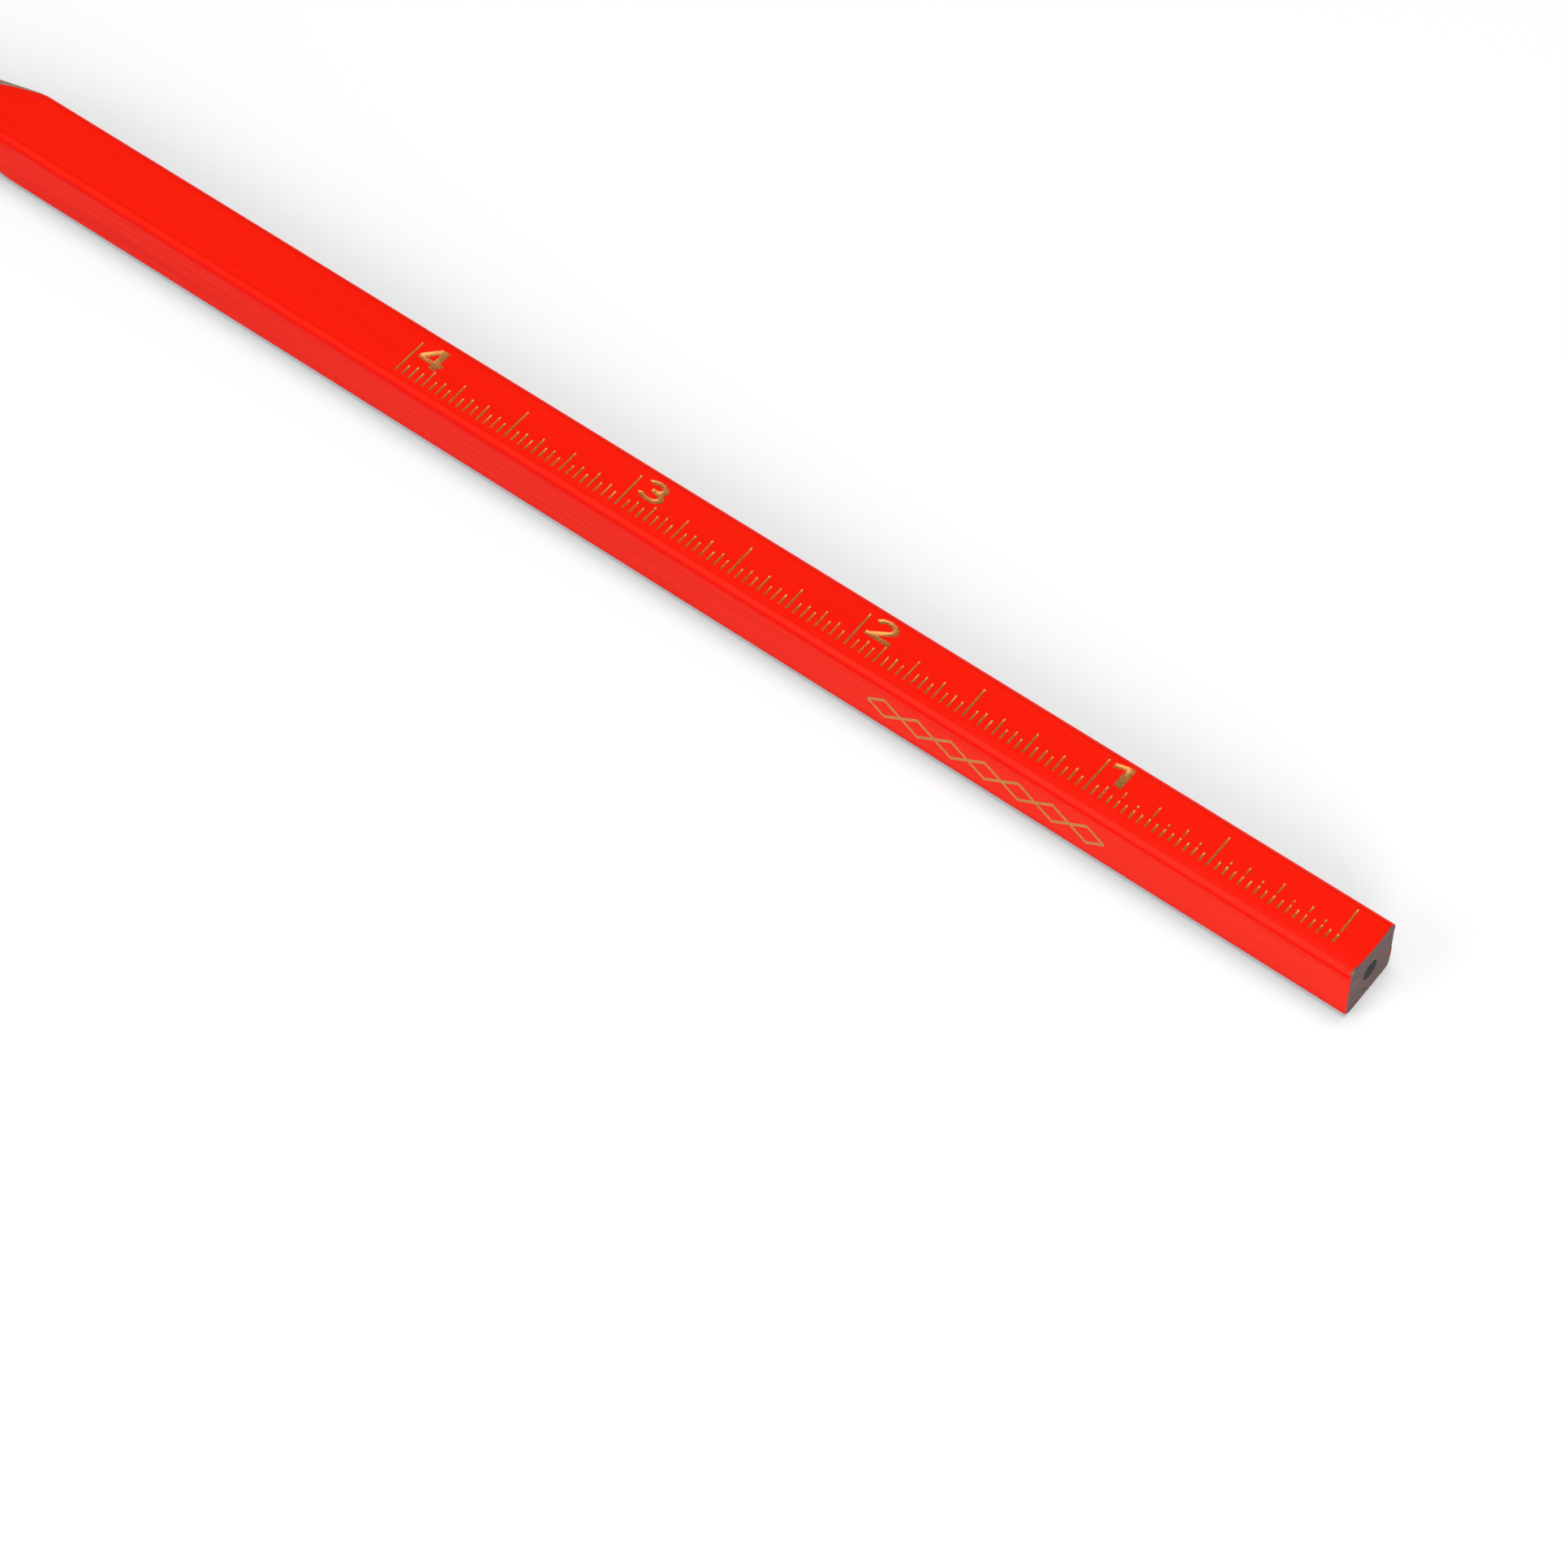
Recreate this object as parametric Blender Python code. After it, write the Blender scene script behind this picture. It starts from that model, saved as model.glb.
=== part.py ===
"""A sharpened square carpenter pencil with a printed ruler on two opposite faces.

Units are metres. +X runs along the pencil towards its square-cut butt, +Z is up, and the pencil lies
on its centimetre face at z = 0. The origin is below the middle of its length.
"""

import math

import bmesh
import bpy
from mathutils import Matrix, Vector
from mathutils.geometry import delaunay_2d_cdt

MM = 0.001
CENTIMETRE = 10 * MM
INCH = 25.4 * MM

# The whole pencil
LENGTH = 174.0 * MM
SIDE = 6.8 * MM
EDGE_RADIUS = 0.85 * MM
EDGE_SEGMENTS = 6
BUTT_X = LENGTH / 2
TIP_X = -LENGTH / 2
AXIS_Z = SIDE / 2

# What it is made of, from the outside in
FIT_GAP = 0.015 * MM
LACQUER_THICKNESS = 0.12 * MM
WOOD_SIDE = SIDE - 2 * (LACQUER_THICKNESS + FIT_GAP)
WOOD_EDGE_RADIUS = EDGE_RADIUS - LACQUER_THICKNESS - FIT_GAP
GLUE_THICKNESS = 0.07 * MM
LEAD_RADIUS = 1.0 * MM
LEAD_SEGMENTS = 32
GROOVE_RADIUS = LEAD_RADIUS + FIT_GAP

# The sharpened end: a cone with its sides at this slope, and a blunted lead tip
CONE_SLOPE = 0.2
CONE_SEGMENTS = 64
CONE_LENGTH = 40.0 * MM
TIP_FLAT_RADIUS = 0.2 * MM
CONE_APEX_X = TIP_X - TIP_FLAT_RADIUS / CONE_SLOPE

# Foil marks lie in a shallow groove pressed into the lacquer
FOIL_THICKNESS = 0.03 * MM
FOIL_GROOVE_DEPTH = 0.06 * MM
FOIL_MARGIN = 0.02 * MM
LINE_WIDTH = 0.28 * MM
OVERCUT = 0.2 * MM

# Centimetre scale, seen with its own face up: lines hang from the far edge
CM_ZERO_FROM_BUTT = 2.4 * MM
CM_MARK_TOP = 2.2 * MM
CM_LINE_LENGTH = 4.3 * MM
CM_HALF_LENGTH = 3.0 * MM
CM_NUMERAL_BASE = -1.6 * MM
CM_LONG_HALF = 1
CM_COUNT = 10

# Inch scale, seen with its own face up: lines stand on the near edge, and the print runs slightly
# askew, closer to the near edge with distance from the butt
INCH_ZERO_FROM_BUTT = 3.1 * MM
INCH_MARK_BASE = -1.58 * MM
INCH_LINE_LENGTH = 4.0 * MM
INCH_HALF_LENGTH = 3.5 * MM
INCH_NUMERAL_RISE = 2.0 * MM
INCH_COUNT = 4
INCH_PRINT_SLOPE = 0.0077

# Numerals stand on the butt side of their line, drawn with a pen that is wider than high
NUMERAL_HEIGHT = 2.4 * MM
NUMERAL_WIDTH = 2.65 * MM
NARROW_ONE_WIDTH = 1.9 * MM
NUMERAL_GAP = 0.65 * MM
TEN_GAP = 0.45 * MM
NUMERAL_PEN = (0.33 * MM, 0.22 * MM)
ARC_STEP = math.radians(20)
CROSSING_TOLERANCE = 0.001 * MM
SHORTEST_EDGE = 0.04 * MM

# Ornament on the front side face: two zigzags crossing as a chain of lozenges
ORNAMENT_LOZENGES = 7
ORNAMENT_PITCH = 3.6 * MM
ORNAMENT_HEIGHT = 2.8 * MM
ORNAMENT_STROKE = 0.34 * MM
ORNAMENT_BUTT_END = 25.0 * MM

# Each material's colour, roughness and metallic value
LOOKS = {
    "red_lacquer": ((0.80, 0.012, 0.006), 0.35, 0.0),
    "front_wood": ((0.40, 0.27, 0.19), 0.75, 0.0),
    "rear_wood": ((0.36, 0.25, 0.19), 0.75, 0.0),
    "wood_glue": ((0.30, 0.22, 0.13), 0.5, 0.0),
    "graphite": ((0.03, 0.03, 0.035), 0.45, 0.3),
    "gold_foil": ((0.50, 0.27, 0.09), 0.35, 0.9),
}
SMOOTH_ANGLE = math.radians(35)

# Quarter turns of the pencil that bring each printed face up
INCH_FACE, FRONT_FACE, CENTIMETRE_FACE = range(3)


# ---------------------------------------------------------------- materials and objects

def material(name):
    found = bpy.data.materials.get(name)
    if found:
        return found
    color, roughness, metallic = LOOKS[name]
    made = bpy.data.materials.new(name)
    made.use_nodes = True
    shader = made.node_tree.nodes["Principled BSDF"]
    shader.inputs["Base Color"].default_value = (*color, 1.0)
    shader.inputs["Roughness"].default_value = roughness
    shader.inputs["Metallic"].default_value = metallic
    made.diffuse_color = (*color, 1.0)
    return made


def new_object(name, shape, look=None):
    """Turns a bmesh into an object, and frees the bmesh."""
    bmesh.ops.recalc_face_normals(shape, faces=shape.faces)
    mesh = bpy.data.meshes.new(name)
    shape.to_mesh(mesh)
    shape.free()
    made = bpy.data.objects.new(name, mesh)
    bpy.context.scene.collection.objects.link(made)
    if look:
        mesh.materials.append(look)
        mesh.shade_smooth()
        mesh.set_sharp_from_angle(angle=SMOOTH_ANGLE)
    return made


def new_cutter(name, shape):
    made = new_object(name, shape)
    made.hide_render = True
    made.display_type = "WIRE"
    return made


def cut(target, cutter, operation):
    step = target.modifiers.new(cutter.name, "BOOLEAN")
    step.operation = operation
    step.object = cutter


# ---------------------------------------------------------------- solids

def rounded_square(side, radius):
    """Corner points of the pencil's section, as (y, z) pairs, anticlockwise seen from the butt."""
    reach = side / 2 - radius
    corners = ((1, 1), (-1, 1), (-1, -1), (1, -1))
    points = []
    for quarter, (y_sign, z_sign) in enumerate(corners):
        for step in range(EDGE_SEGMENTS + 1):
            angle = (quarter + step / EDGE_SEGMENTS) * math.pi / 2
            y = y_sign * reach + radius * math.cos(angle)
            z = z_sign * reach + radius * math.sin(angle)
            points.append((y, z + AXIS_Z))
    return points


def prism(points, start_x, end_x):
    """A solid with this (y, z) section between two places along the pencil."""
    shape = bmesh.new()
    ring = [shape.verts.new((start_x, y, z)) for y, z in points]
    base = shape.faces.new(ring)
    grown = bmesh.ops.extrude_face_region(shape, geom=[base])["geom"]
    moved = [item for item in grown if isinstance(item, bmesh.types.BMVert)]
    bmesh.ops.translate(shape, verts=moved, vec=(end_x - start_x, 0, 0))
    return shape


def box(low, high):
    shape = bmesh.new()
    bmesh.ops.create_cube(shape, size=1.0)
    size = Vector(high) - Vector(low)
    middle = (Vector(high) + Vector(low)) / 2
    bmesh.ops.scale(shape, verts=shape.verts, vec=size)
    bmesh.ops.translate(shape, verts=shape.verts, vec=middle)
    return shape


def round_bar(radius, segments, start_x, end_x):
    """A cylinder along the pencil's axis."""
    shape = bmesh.new()
    turn = Matrix.Rotation(math.pi / 2, 4, "Y")
    place = Matrix.Translation(((start_x + end_x) / 2, 0, AXIS_Z)) @ turn
    bmesh.ops.create_cone(
        shape, cap_ends=True, segments=segments, radius1=radius, radius2=radius,
        depth=end_x - start_x, matrix=place,
    )
    return shape


def sharpening_cone():
    """What the sharpener leaves: a cone that opens towards the butt, then a bar thicker than the rest."""
    wide_x = TIP_X + CONE_LENGTH
    wide_radius = (wide_x - CONE_APEX_X) * CONE_SLOPE
    rings = ((TIP_X, TIP_FLAT_RADIUS), (wide_x, wide_radius), (BUTT_X + OVERCUT, wide_radius))
    shape = bmesh.new()
    loops = []
    for x, radius in rings:
        ring = []
        for step in range(CONE_SEGMENTS):
            angle = (step + 0.5) / CONE_SEGMENTS * math.tau
            y = radius * math.cos(angle)
            z = AXIS_Z + radius * math.sin(angle)
            ring.append(shape.verts.new((x, y, z)))
        loops.append(ring)
    for near, far in zip(loops, loops[1:]):
        for step in range(CONE_SEGMENTS):
            after = (step + 1) % CONE_SEGMENTS
            shape.faces.new((near[step], near[after], far[after], far[step]))
    shape.faces.new(loops[0])
    shape.faces.new(loops[-1])
    return new_cutter("sharpening_cone", shape)


# ---------------------------------------------------------------- foil marks

def face_matrix(turns):
    """Takes a mark drawn flat (x along, y across, z out of the face) to a face of the pencil.

    Without a turn that is the top. Rolling the pencil brings each face up the same way round.
    """
    roll = Matrix.Rotation(turns * math.pi / 2, 4, "X")
    return Matrix.Translation((0, 0, AXIS_Z)) @ roll @ Matrix.Translation((0, 0, SIDE / 2))


def outline_sheet(outline):
    """A flat sheet in the XY plane with this outline."""
    shape = bmesh.new()
    shape.faces.new([shape.verts.new((x, y, 0)) for x, y in outline])
    return shape


def ribbon_sheet(path, pen, closed=False):
    """A flat ribbon along a path, as a pen draws it. pen is its half width and half height."""
    points = [Vector((x / pen[0], y / pen[1])) for x, y in path]
    if closed:
        before, after = points[-1:] + points[:-1], points[1:] + points[:1]
    else:
        before, after = points[:1] + points[:-1], points[1:] + points[-1:]
    shape = bmesh.new()
    rungs = []
    for previous, point, following in zip(before, points, after):
        headings = [step.normalized() for step in (point - previous, following - point) if step.length]
        along = sum(headings, Vector((0, 0))).normalized()
        across = Vector((-along.y, along.x)) / along.dot(headings[0])
        ends = (point + across, point - across)
        rungs.append([shape.verts.new((end.x * pen[0], end.y * pen[1], 0)) for end in ends])
    for near, far in zip(rungs, rungs[1:] + rungs[:1] if closed else rungs[1:]):
        shape.faces.new((near[0], near[1], far[1], far[0]))
    return shape


def merged_sheet(sheets):
    """One flat sheet that covers what the given sheets cover together."""
    corners = []
    outlines = []
    for sheet in sheets:
        for face in sheet.faces:
            first = len(corners)
            corners += [vert.co.xy for vert in face.verts]
            outlines.append(list(range(first, len(corners))))
        sheet.free()
    points, _, faces, _, _, sources = delaunay_2d_cdt(corners, [], outlines, 0, CROSSING_TOLERANCE, True)
    shape = bmesh.new()
    verts = [shape.verts.new((point.x, point.y, 0)) for point in points]
    for face, source in zip(faces, sources):
        if source:
            shape.faces.new([verts[index] for index in face])
    bmesh.ops.remove_doubles(shape, verts=shape.verts, dist=SHORTEST_EDGE)
    return shape


def line_sheet(x, low_y, high_y):
    return ribbon_sheet([(x, low_y), (x, high_y)], (LINE_WIDTH / 2, LINE_WIDTH / 2))


def arc(middle, radii, start_degrees, end_degrees):
    """Points of an elliptical arc, both ends included."""
    start, end = math.radians(start_degrees), math.radians(end_degrees)
    count = math.ceil(abs(end - start) / ARC_STEP)
    angles = [start + (end - start) * step / count for step in range(count + 1)]
    return [(middle[0] + radii[0] * math.cos(a), middle[1] + radii[1] * math.sin(a)) for a in angles]


def plain_one_sheet():
    """The numeral 1 without a foot: a stem with a flag that slopes down to the left."""
    width, height = NARROW_ONE_WIDTH, NUMERAL_HEIGHT
    stem_left = 0.58 * width
    return outline_sheet([
        (stem_left, 0), (width, 0), (width, height), (0.64 * width, height),
        (0, 0.82 * height), (0, 0.60 * height), (stem_left, 0.74 * height),
    ])


def four_sheet():
    """The numeral 4: a stem, a crossbar and a slope around a small triangle."""
    stem = [(0.60, 0), (0.85, 0), (0.85, 1), (0.60, 1)]
    bar = [(0, 0.19), (1, 0.19), (1, 0.375), (0, 0.375)]
    slope = [(0, 0.3), (0.27, 0.3), (0.27, 0.375), (0.72, 0.91), (0.72, 1), (0.52, 1), (0, 0.41)]
    return merged_sheet([
        outline_sheet([(x * NUMERAL_WIDTH, y * NUMERAL_HEIGHT) for x, y in outline])
        for outline in (stem, bar, slope)
    ])


def numeral_strokes(digit):
    """(path, closed) of each pen stroke, in a unit square that the middle of the pen stays inside.

    Straight strokes that end on the numeral's outline reach half a pen further.
    """
    end = NUMERAL_PEN[0] / (NUMERAL_WIDTH - 2 * NUMERAL_PEN[0])
    tall = NUMERAL_PEN[1] / (NUMERAL_HEIGHT - 2 * NUMERAL_PEN[1])
    if digit == "0":
        return [(arc((0.5, 0.5), (0.5, 0.5), 0, 360)[:-1], True)]
    if digit == "2":
        hook = arc((0.5, 0.71), (0.46, 0.29), 172, -35)
        return [(hook + [(0.08, 0.04)], False), ([(-end, 0), (1 + end, 0)], False)]
    if digit == "3":
        upper = arc((0.48, 0.76), (0.44, 0.24), 160, -90) + [(0.34, 0.52)]
        lower = arc((0.48, 0.26), (0.52, 0.26), 84, -165)
        return [(upper, False), (lower, False)]
    if digit == "5":
        corner = [(1, 1), (0.17, 1), (0.10, 0.52)]
        return [(corner, False), (arc((0.48, 0.33), (0.52, 0.33), 138, -160), False)]
    if digit == "6":
        back = arc((0.5, 0.31), (0.5, 0.69), 56, 180)
        bowl = arc((0.5, 0.31), (0.5, 0.31), 180, 525)
        return [(back + bowl[1:], False)]
    if digit == "7":
        bar = [(-end, 1), (1 + end, 1)]
        leg = [(0.95, 0.98), (0.60, 0.54), (0.43, 0.20), (0.40, -tall)]
        return [(bar, False), (leg, False)]
    if digit == "8":
        upper = arc((0.5, 0.76), (0.45, 0.24), 0, 360)[:-1]
        lower = arc((0.5, 0.26), (0.5, 0.26), 0, 360)[:-1]
        return [(upper, True), (lower, True)]
    return [([(1 - x, 1 - y) for x, y in path], closed) for path, closed in numeral_strokes("6")]


def numeral_sheet(digit, left_x, base_y):
    """A bold numeral, with the lower left corner of its outline at this place."""
    pen_x, pen_y = NUMERAL_PEN
    width, height = NUMERAL_WIDTH - 2 * pen_x, NUMERAL_HEIGHT - 2 * pen_y
    if digit == "1":
        shape = plain_one_sheet()
    elif digit == "4":
        shape = four_sheet()
    else:
        strokes = []
        for stroke, closed in numeral_strokes(digit):
            path = [(pen_x + x * width, pen_y + y * height) for x, y in stroke]
            strokes.append(ribbon_sheet(path, NUMERAL_PEN, closed))
        shape = merged_sheet(strokes)
    bmesh.ops.translate(shape, verts=shape.verts, vec=(left_x, base_y, 0))
    return shape


def zigzag_sheet(low_x, first_side):
    """A ribbon that starts and ends on the centre line and swings from side to side between."""
    pen = ORNAMENT_STROKE / 2
    swing = ORNAMENT_HEIGHT / 2 - pen
    path = [(low_x, 0)]
    for count in range(ORNAMENT_LOZENGES):
        side = first_side if count % 2 == 0 else -first_side
        path.append((low_x + (count + 0.5) * ORNAMENT_PITCH, side * swing))
    path.append((low_x + ORNAMENT_LOZENGES * ORNAMENT_PITCH, 0))
    return ribbon_sheet(path, (pen, pen))


def grow_rim(shape, margin):
    """Moves the rim of a flat sheet outwards, within its plane."""
    moves = {}
    for vert in shape.verts:
        outward = Vector((0, 0, 0))
        for edge in vert.link_edges:
            if not edge.is_boundary:
                continue
            loop = edge.link_loops[0]
            along = loop.link_loop_next.vert.co - loop.vert.co
            outward += along.cross(loop.face.normal).normalized()
        moves[vert] = outward.normalized() * margin
    for vert, move in moves.items():
        vert.co += move


def thicken(shape, low_z, high_z):
    """Makes a flat sheet into a solid between two heights."""
    bmesh.ops.translate(shape, verts=shape.verts, vec=(0, 0, low_z))
    grown = bmesh.ops.extrude_face_region(shape, geom=shape.faces[:])["geom"]
    moved = [item for item in grown if isinstance(item, bmesh.types.BMVert)]
    bmesh.ops.translate(shape, verts=moved, vec=(0, 0, high_z - low_z))


def place_mark(shape, mark_matrix):
    bmesh.ops.transform(shape, matrix=mark_matrix, verts=shape.verts)


def foil_solid(shape, mark_matrix):
    low = FIT_GAP - FOIL_GROOVE_DEPTH
    thicken(shape, low, low + FOIL_THICKNESS)
    place_mark(shape, mark_matrix)
    return shape


def groove_cutter(name, shape, mark_matrix):
    """What is pressed out of the lacquer below a mark, a little larger than the mark all round."""
    shape.normal_update()
    grow_rim(shape, FOIL_MARGIN)
    thicken(shape, -FOIL_GROOVE_DEPTH, OVERCUT)
    place_mark(shape, mark_matrix)
    return new_cutter(name, shape)


def add_mark(name, sheet, mark_matrix, lacquer):
    """One foil mark, and the groove that it lies in."""
    foil = foil_solid(sheet.copy(), mark_matrix)
    new_object(name, foil, material("gold_foil"))
    cut(lacquer, groove_cutter(name + "_groove", sheet, mark_matrix), "DIFFERENCE")


# ---------------------------------------------------------------- the pencil's pieces

def make_slats(cone):
    """Two halves of the casing, each with half of the groove that holds the lead."""
    start_x, end_x = TIP_X - OVERCUT, BUTT_X + OVERCUT
    groove = new_cutter("lead_groove", round_bar(GROOVE_RADIUS, LEAD_SEGMENTS, start_x, end_x))
    seam = GLUE_THICKNESS / 2 + FIT_GAP
    for place, side in (("front", -1), ("rear", 1)):
        section = rounded_square(WOOD_SIDE, WOOD_EDGE_RADIUS)
        slat = new_object(place + "_slat", prism(section, TIP_X, BUTT_X), material(place + "_wood"))
        near_y, far_y = sorted((side * seam, side * SIDE))
        half = box((start_x, near_y, -OVERCUT), (end_x, far_y, SIDE + OVERCUT))
        cut(slat, new_cutter(place + "_half", half), "INTERSECT")
        cut(slat, groove, "DIFFERENCE")
        cut(slat, cone, "INTERSECT")


def make_glue(cone):
    """The glue film between the slats, above and below the lead."""
    section = rounded_square(WOOD_SIDE, WOOD_EDGE_RADIUS)
    bounds = new_cutter("glue_bounds", prism(section, TIP_X, BUTT_X))
    half = GLUE_THICKNESS / 2
    for name, low_z, high_z in (
        ("upper_glue_line", AXIS_Z + GROOVE_RADIUS, SIDE),
        ("lower_glue_line", 0, AXIS_Z - GROOVE_RADIUS),
    ):
        strip = box((TIP_X - OVERCUT, -half, low_z), (BUTT_X + OVERCUT, half, high_z))
        film = new_object(name, strip, material("wood_glue"))
        cut(film, bounds, "INTERSECT")
        cut(film, cone, "INTERSECT")


def make_lead(cone):
    bar = round_bar(LEAD_RADIUS, LEAD_SEGMENTS, TIP_X, BUTT_X)
    lead = new_object("graphite_lead", bar, material("graphite"))
    cut(lead, cone, "INTERSECT")


def make_lacquer(cone):
    """The lacquer coat is a thin square tube, and the sharpener scallops its end."""
    outside = prism(rounded_square(SIDE, EDGE_RADIUS), TIP_X, BUTT_X)
    lacquer = new_object("lacquer_coat", outside, material("red_lacquer"))
    inner_side = SIDE - 2 * LACQUER_THICKNESS
    inner_radius = EDGE_RADIUS - LACQUER_THICKNESS
    bore = prism(rounded_square(inner_side, inner_radius), TIP_X - OVERCUT, BUTT_X + OVERCUT)
    cut(lacquer, new_cutter("lacquer_bore", bore), "DIFFERENCE")
    cut(lacquer, cone, "INTERSECT")
    return lacquer


def add_centimetre_scale(lacquer):
    """Lines at each centimetre and half, counted from the butt, and numerals at the full ones."""
    below = face_matrix(CENTIMETRE_FACE)

    def add_line(name, x, length):
        add_mark(name, line_sheet(x, CM_MARK_TOP - length, CM_MARK_TOP), below, lacquer)

    def add_numeral(name, digit, left_x):
        add_mark(name, numeral_sheet(digit, left_x, CM_NUMERAL_BASE), below, lacquer)

    for count in range(CM_COUNT + 1):
        x = BUTT_X - CM_ZERO_FROM_BUTT - count * CENTIMETRE
        add_line(f"cm_line_{count}", x, CM_LINE_LENGTH)
        if 0 < count < CM_COUNT:
            add_numeral(f"cm_numeral_{count}", str(count), x + NUMERAL_GAP)
        if count < CM_COUNT:
            length = CM_LINE_LENGTH if count == CM_LONG_HALF else CM_HALF_LENGTH
            add_line(f"cm_half_{count}", x - CENTIMETRE / 2, length)
    add_numeral("cm_numeral_10_one", "1", x - TEN_GAP - NARROW_ONE_WIDTH)
    add_numeral("cm_numeral_10_zero", "0", x + NUMERAL_GAP)


def add_inch_scale(lacquer):
    """Lines at each inch and half, counted from the butt, and numerals at the full ones."""
    above = face_matrix(INCH_FACE)
    zero_x = BUTT_X - INCH_ZERO_FROM_BUTT

    def base_y(x):
        return INCH_MARK_BASE - (zero_x - x) * INCH_PRINT_SLOPE

    def add_line(name, x, length):
        add_mark(name, line_sheet(x, base_y(x), base_y(x) + length), above, lacquer)

    for count in range(INCH_COUNT + 1):
        x = zero_x - count * INCH
        add_line(f"inch_line_{count}", x, INCH_LINE_LENGTH)
        if count > 0:
            numeral = numeral_sheet(str(count), x + NUMERAL_GAP, base_y(x) + INCH_NUMERAL_RISE)
            add_mark(f"inch_numeral_{count}", numeral, above, lacquer)
        if count < INCH_COUNT:
            add_line(f"inch_half_{count}", x - INCH / 2, INCH_HALF_LENGTH)


def add_ornament(lacquer):
    """Two ribbons cross as a chain of lozenges on the front side face."""
    low_x = BUTT_X - ORNAMENT_BUTT_END - ORNAMENT_LOZENGES * ORNAMENT_PITCH
    chain = merged_sheet([zigzag_sheet(low_x, side) for side in (1, -1)])
    add_mark("side_ornament", chain, face_matrix(FRONT_FACE), lacquer)


def main():
    for old in list(bpy.data.objects):
        bpy.data.objects.remove(old)
    cone = sharpening_cone()
    make_slats(cone)
    make_glue(cone)
    make_lead(cone)
    lacquer = make_lacquer(cone)
    add_centimetre_scale(lacquer)
    add_inch_scale(lacquer)
    add_ornament(lacquer)


main()
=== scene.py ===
"""Looks of a sharpened square carpenter pencil: lacquer, stamped foil rulers, wood, graphite.

Geometry is worked out in millimetres in the frame's own axes, and scaled to metres when a piece is made.
"""

import math
import random

import bmesh
import bpy
from mathutils import Matrix, Vector, noise
from mathutils.geometry import delaunay_2d_cdt


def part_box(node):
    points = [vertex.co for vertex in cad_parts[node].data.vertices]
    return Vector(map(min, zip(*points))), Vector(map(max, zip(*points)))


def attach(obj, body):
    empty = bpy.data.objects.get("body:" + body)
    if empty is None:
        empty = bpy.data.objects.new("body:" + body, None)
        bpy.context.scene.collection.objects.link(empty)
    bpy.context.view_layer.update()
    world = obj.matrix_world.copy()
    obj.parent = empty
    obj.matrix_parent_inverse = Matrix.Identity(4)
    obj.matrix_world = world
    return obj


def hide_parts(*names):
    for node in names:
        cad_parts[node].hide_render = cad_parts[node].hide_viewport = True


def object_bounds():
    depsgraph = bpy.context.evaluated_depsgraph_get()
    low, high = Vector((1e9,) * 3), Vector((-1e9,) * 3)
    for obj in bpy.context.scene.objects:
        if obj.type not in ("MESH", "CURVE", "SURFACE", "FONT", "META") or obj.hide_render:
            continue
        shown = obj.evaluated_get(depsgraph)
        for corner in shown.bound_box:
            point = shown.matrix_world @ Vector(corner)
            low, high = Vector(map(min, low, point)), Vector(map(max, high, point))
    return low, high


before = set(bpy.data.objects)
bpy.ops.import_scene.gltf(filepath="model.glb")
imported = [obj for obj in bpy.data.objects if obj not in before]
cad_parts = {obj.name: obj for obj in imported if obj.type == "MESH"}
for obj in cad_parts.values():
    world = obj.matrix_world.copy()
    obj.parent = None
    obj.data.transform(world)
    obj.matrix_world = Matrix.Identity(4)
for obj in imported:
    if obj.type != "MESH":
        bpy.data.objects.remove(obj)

CAD_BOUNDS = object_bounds()
MM = 0.001

# ---------------------------------------------------------------- sizes read from the frame, in mm


def box_mm(node):
    low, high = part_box(node)
    return low / MM, high / MM


LACQUER_LOW, LACQUER_HIGH = box_mm("lacquer_coat")
LEAD_LOW, LEAD_HIGH = box_mm("graphite_lead")
SIDE = LACQUER_HIGH.z - LACQUER_LOW.z
AXIS_Z = (LACQUER_HIGH.z + LACQUER_LOW.z) / 2
BUTT_X = LACQUER_HIGH.x
TIP_X = LEAD_LOW.x
LEAD_RADIUS = (LEAD_HIGH.y - LEAD_LOW.y) / 2

# What the boxes don't give: the values that the bodies were made with
EDGE_RADIUS = 0.85
LACQUER_THICKNESS = 0.12
FIT_GAP = 0.015
SEAM_HALF = 0.038
CONE_SLOPE = 0.2
TIP_FLAT_RADIUS = 0.2
APEX_X = TIP_X - TIP_FLAT_RADIUS / CONE_SLOPE
REACH = SIDE / 2 - EDGE_RADIUS
WOOD_HALF = SIDE / 2 - LACQUER_THICKNESS - FIT_GAP
WOOD_EDGE_RADIUS = EDGE_RADIUS - LACQUER_THICKNESS - FIT_GAP

# How the foil lies in the lacquer: heights are above the lacquer's surface
GROOVE_DEPTH = 0.06
GROOVE_MARGIN = -0.008       # negative, so that the foil's rim covers the groove's
GROOVE_CLEARANCE = 0.03      # grooves stay this far from the rounded edges
FOIL_LIP = 0.006
FOIL_UNDERSIDE = -0.052
FOIL_RIM = 0.038
FOIL_SINK = 0.034
FOIL_SINK_SIDE = 0.014       # the ornament is pressed less deep than the rulers

# The lacquer's slight unevenness over the wood, and how it ends
SWELL_SLOW = 0.007
SWELL_FINE = 0.003
SWELL_INSET = 0.010
DIP_DEPTH = 0.020            # along the inch face's rounded edge
DIP_ANGLE = 10.0
DIP_SPREAD = 8.0
OUTER_CUT_BACK = 0.02
INNER_CUT_BACK = 0.01
CHIP_ON_OUTSIDE = 0.10       # chips shallower than this don't reach the wood

# Tolerances for finding a flat top and for joining points
FLAT_TOLERANCE = 0.005
OUTLINE_WELD = 0.0005
SKIN_WELD = 0.0008

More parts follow.
